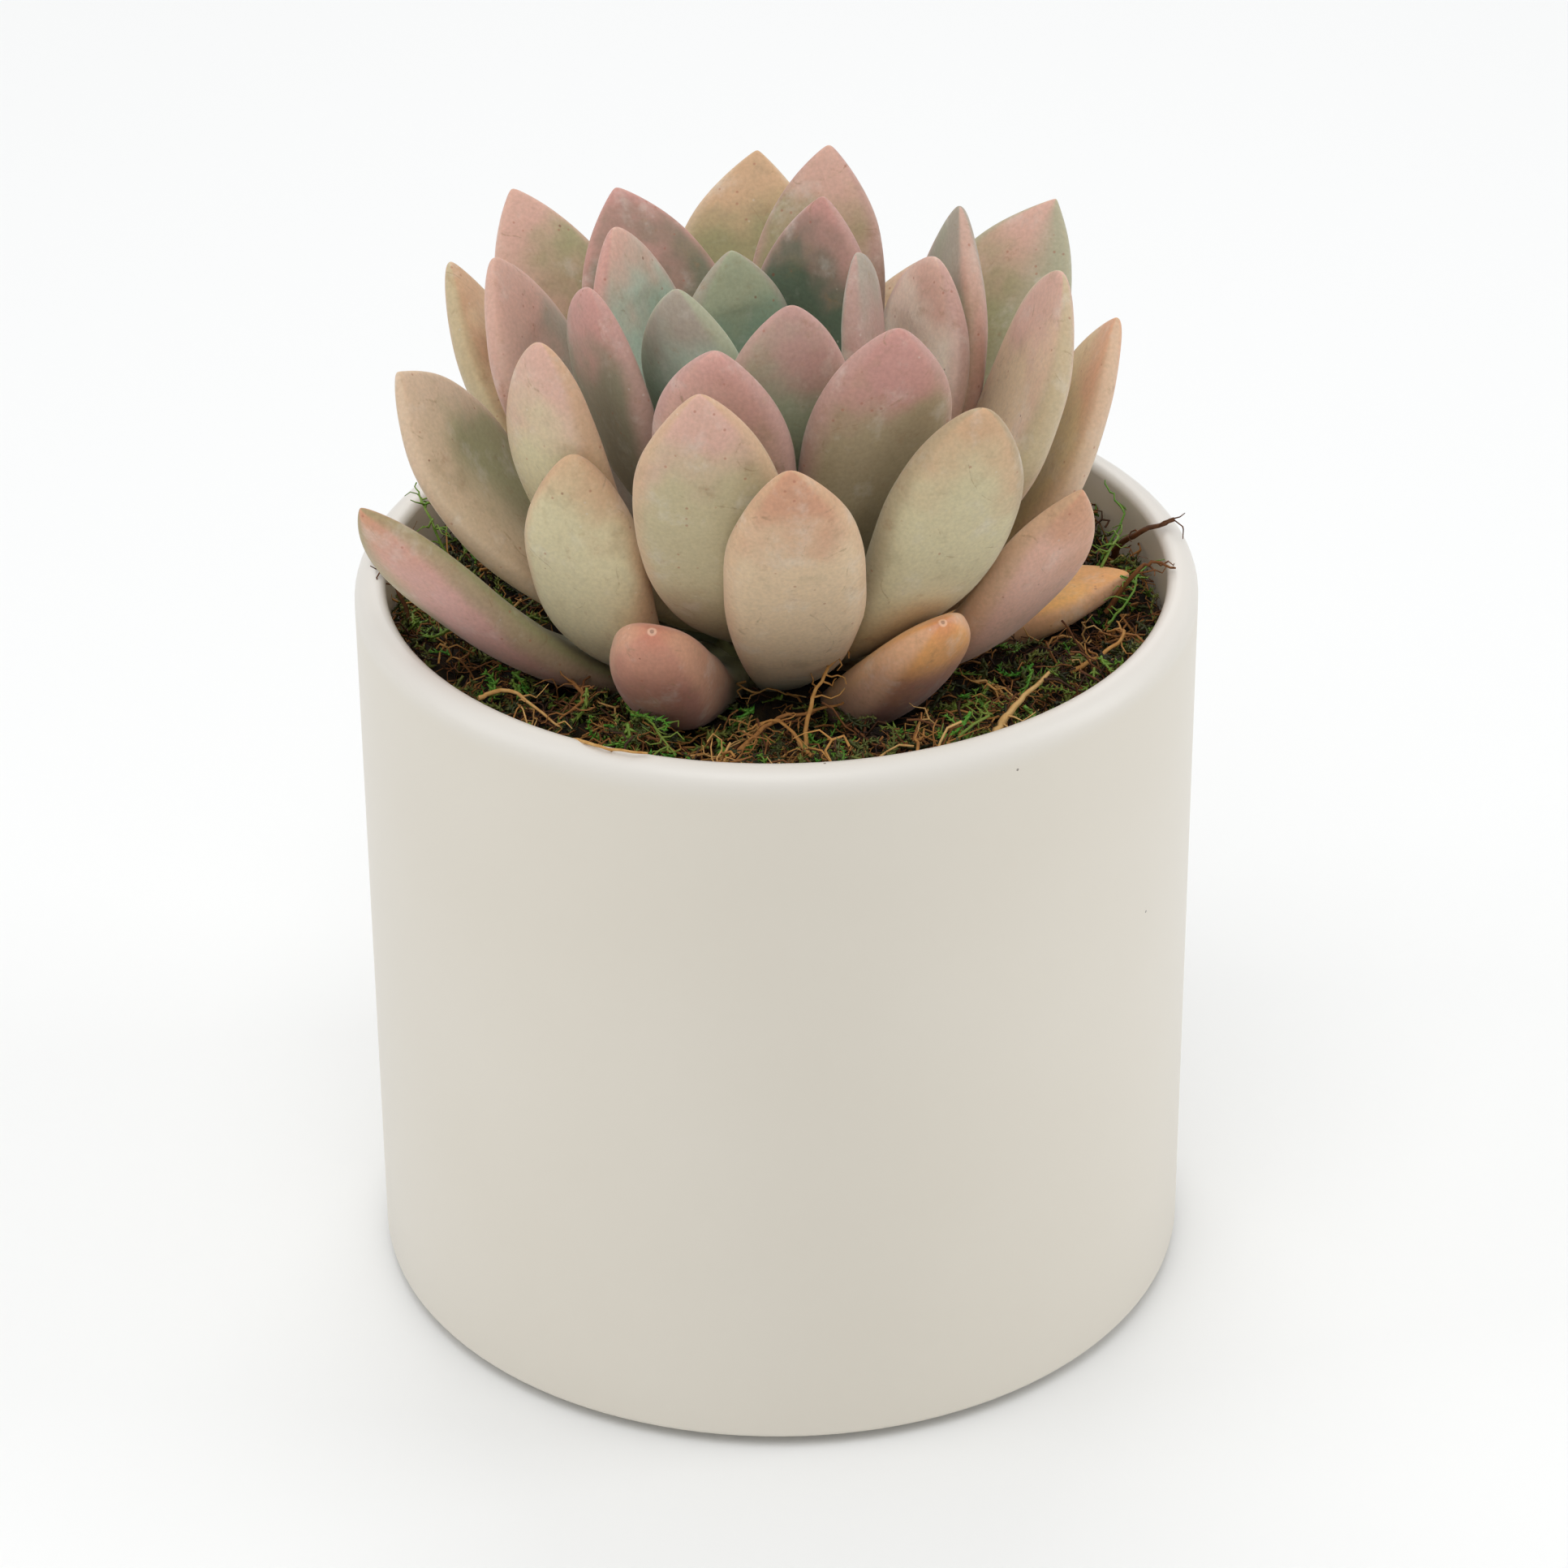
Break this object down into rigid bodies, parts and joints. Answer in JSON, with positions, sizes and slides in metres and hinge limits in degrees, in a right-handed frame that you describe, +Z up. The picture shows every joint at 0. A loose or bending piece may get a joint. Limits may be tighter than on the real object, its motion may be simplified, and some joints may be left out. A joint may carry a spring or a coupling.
{
  "type": "potted rosette succulent",
  "caption": "Thick-leaved succulent rosette on a short stem, in a moss-covered straight cylinder pot of glazed ceramic.",
  "frame": {"origin": "on the table, under the middle of the pot", "axes": "+Z up the pot's axis, -Y towards the front"},
  "size_m": [0.12, 0.12, 0.1631],
  "materials": {
    "glaze": "satin off-white glaze",
    "clear_bumper": "clear soft polyurethane",
    "stem": "green living stem",
    "soil": "loose dark potting mix",
    "moss": "dried sheet moss with green fronds",
    "heart_leaf": "matt waxy bloom over succulent skin",
    "inner_leaf": "matt waxy bloom over succulent skin",
    "middle_leaf": "matt waxy bloom over succulent skin",
    "outer_leaf": "matt waxy bloom over succulent skin",
    "low_leaf": "matt waxy bloom over succulent skin",
    "stub_leaf": "matt waxy bloom over succulent skin"
  },
  "bodies": {
    "root": {"pot": "glaze", "bumper_foot_1": "clear_bumper", "bumper_foot_2": "clear_bumper", "bumper_foot_3": "clear_bumper", "stem": "stem", "heart_leaf_01": "heart_leaf", "heart_leaf_02": "heart_leaf", "heart_leaf_03": "heart_leaf", "heart_leaf_04": "heart_leaf", "heart_leaf_05": "heart_leaf", "inner_leaf_01": "inner_leaf", "inner_leaf_02": "inner_leaf", "inner_leaf_03": "inner_leaf", "inner_leaf_04": "inner_leaf", "inner_leaf_05": "inner_leaf", "inner_leaf_06": "inner_leaf", "inner_leaf_07": "inner_leaf", "inner_leaf_08": "inner_leaf", "middle_leaf_01": "middle_leaf", "middle_leaf_02": "middle_leaf", "middle_leaf_03": "middle_leaf", "middle_leaf_04": "middle_leaf", "middle_leaf_05": "middle_leaf", "middle_leaf_06": "middle_leaf", "middle_leaf_07": "middle_leaf", "middle_leaf_08": "middle_leaf", "middle_leaf_09": "middle_leaf", "outer_leaf_01": "outer_leaf", "outer_leaf_02": "outer_leaf", "outer_leaf_03": "outer_leaf", "outer_leaf_04": "outer_leaf", "outer_leaf_05": "outer_leaf", "outer_leaf_06": "outer_leaf", "outer_leaf_07": "outer_leaf", "outer_leaf_08": "outer_leaf", "outer_leaf_09": "outer_leaf", "low_leaf_01": "low_leaf", "low_leaf_02": "low_leaf", "low_leaf_03": "low_leaf", "low_leaf_04": "low_leaf", "low_leaf_05": "low_leaf", "low_leaf_06": "low_leaf", "low_leaf_07": "low_leaf", "low_leaf_08": "low_leaf", "stub_leaf_01": "stub_leaf", "stub_leaf_02": "stub_leaf", "soil": "soil", "moss": "moss"}
  },
  "joints": []
}
